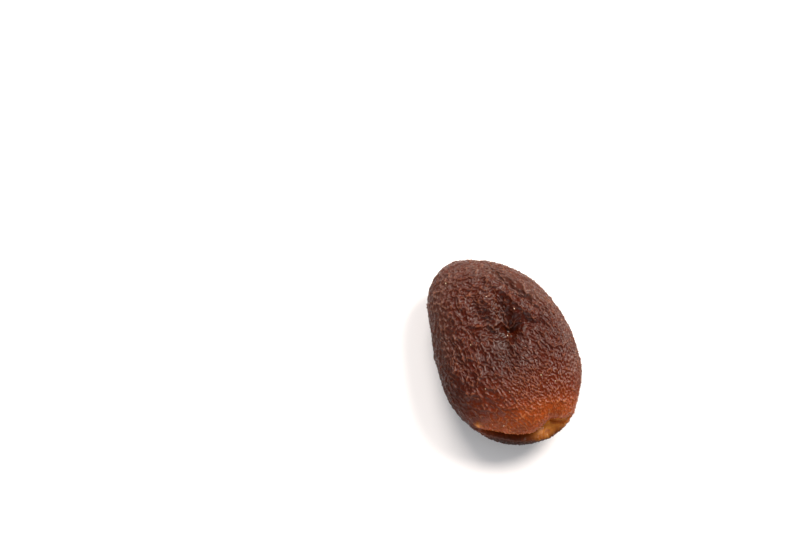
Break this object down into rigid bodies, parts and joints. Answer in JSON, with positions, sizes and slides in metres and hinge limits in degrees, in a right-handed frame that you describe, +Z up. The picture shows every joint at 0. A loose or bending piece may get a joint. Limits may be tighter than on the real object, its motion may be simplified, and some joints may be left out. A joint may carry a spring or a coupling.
{
  "type": "dried apricot",
  "caption": "Whole dried apricot with its stone removed: flat oval leathery body, wrinkled skin, sunken dimple on the upper cheek and a parted stem end with two lips.",
  "frame": {"origin": "on the table, under the middle of the fruit's box", "axes": "+Z up through the sunken upper cheek, +Y towards the fruit's tip, -Y towards the parted stem end, +X across the fruit"},
  "size_m": [0.0296, 0.0422, 0.0129],
  "materials": {
    "skin": "leathery wrinkled red-brown fruit skin, satin and slightly sticky, with a dusty bloom on the ridges and paler orange flesh at the stem end"
  },
  "bodies": {
    "root": {"apricot": "skin"}
  },
  "joints": []
}
